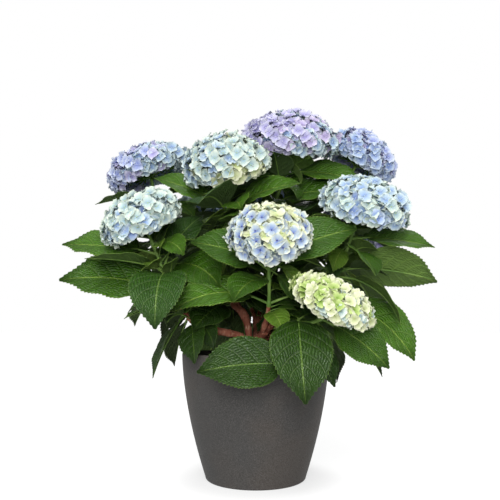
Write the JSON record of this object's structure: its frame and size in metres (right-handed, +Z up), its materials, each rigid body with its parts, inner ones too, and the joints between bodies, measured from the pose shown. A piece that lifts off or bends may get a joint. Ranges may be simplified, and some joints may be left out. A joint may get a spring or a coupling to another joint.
{
  "type": "potted mophead hydrangea shrub",
  "caption": "Bushy hydrangea in a round tapered pot: woody canes, broad toothed leaves and domed mophead flowers in pale blue, lilac and cream.",
  "frame": {"origin": "centre of the pot's flat underside", "axes": "+Z up, -Y towards the front of the plant, +X to the right as seen from the front"},
  "size_m": [0.5825, 0.4767, 0.6049],
  "materials": {
    "pot": "dark grey, finely speckled, satin",
    "compost": "dark brown, crumbly, matt",
    "bark": "red-brown bark with fine ridges",
    "foliage": "mid to dark green leaves, satin, with light veins",
    "petals_cream": "cream to pale green sepals, some with a pale blue centre",
    "petals_ice": "very pale blue and mint sepals",
    "petals_blue": "light blue to periwinkle sepals",
    "petals_lilac": "lilac sepals with some pale blue"
  },
  "bodies": {
    "root": {"pot": "pot", "compost": "compost", "woody_crown": "bark", "cane_right": "bark", "cane_back": "bark", "cane_middle": "bark", "cane_left": "bark", "cane_front": "bark", "foliage_front": "foliage", "flower_head_front": "petals_cream", "foliage_low": "foliage", "flower_head_low": "petals_cream", "foliage_left": "foliage", "flower_head_left": "petals_ice", "foliage_right": "foliage", "flower_head_right": "petals_ice", "foliage_centre": "foliage", "flower_head_centre": "petals_ice", "foliage_top": "foliage", "flower_head_top": "petals_lilac", "foliage_far_right": "foliage", "flower_head_far_right": "petals_blue", "foliage_far_left": "foliage", "flower_head_far_left": "petals_blue", "foliage_back_left": "foliage", "flower_head_back_left": "petals_ice", "foliage_back": "foliage", "flower_head_back": "petals_blue", "foliage_back_right": "foliage", "flower_head_back_right": "petals_lilac"}
  },
  "joints": []
}
